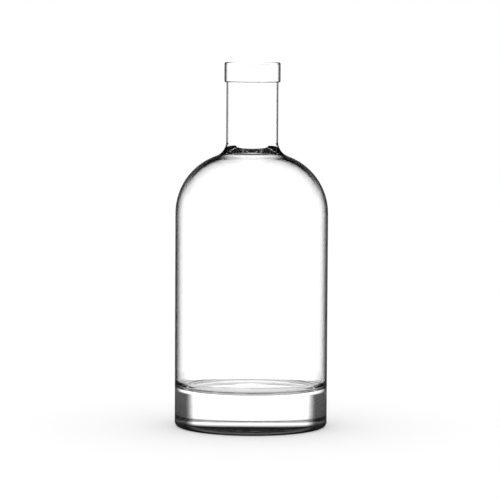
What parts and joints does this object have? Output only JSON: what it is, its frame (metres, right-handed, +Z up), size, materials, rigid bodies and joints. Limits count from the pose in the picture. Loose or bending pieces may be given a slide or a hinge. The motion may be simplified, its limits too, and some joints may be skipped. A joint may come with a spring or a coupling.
{
  "type": "spirits bottle",
  "caption": "Round clear glass spirits bottle with a straight neck, a bar-top mouth for a cork stopper, domed shoulders and a thick solid base.",
  "frame": {"origin": "centre of the circle that the bottle stands on, on the standing surface", "axes": "+Z up along the bottle's axis, towards the mouth; the bottle is the same all round, so X and Y are free"},
  "size_m": [0.088, 0.088, 0.21],
  "materials": {
    "clear_glass": "clear flint glass, fire-polished"
  },
  "bodies": {
    "root": {"bottle": "clear_glass"}
  },
  "joints": []
}
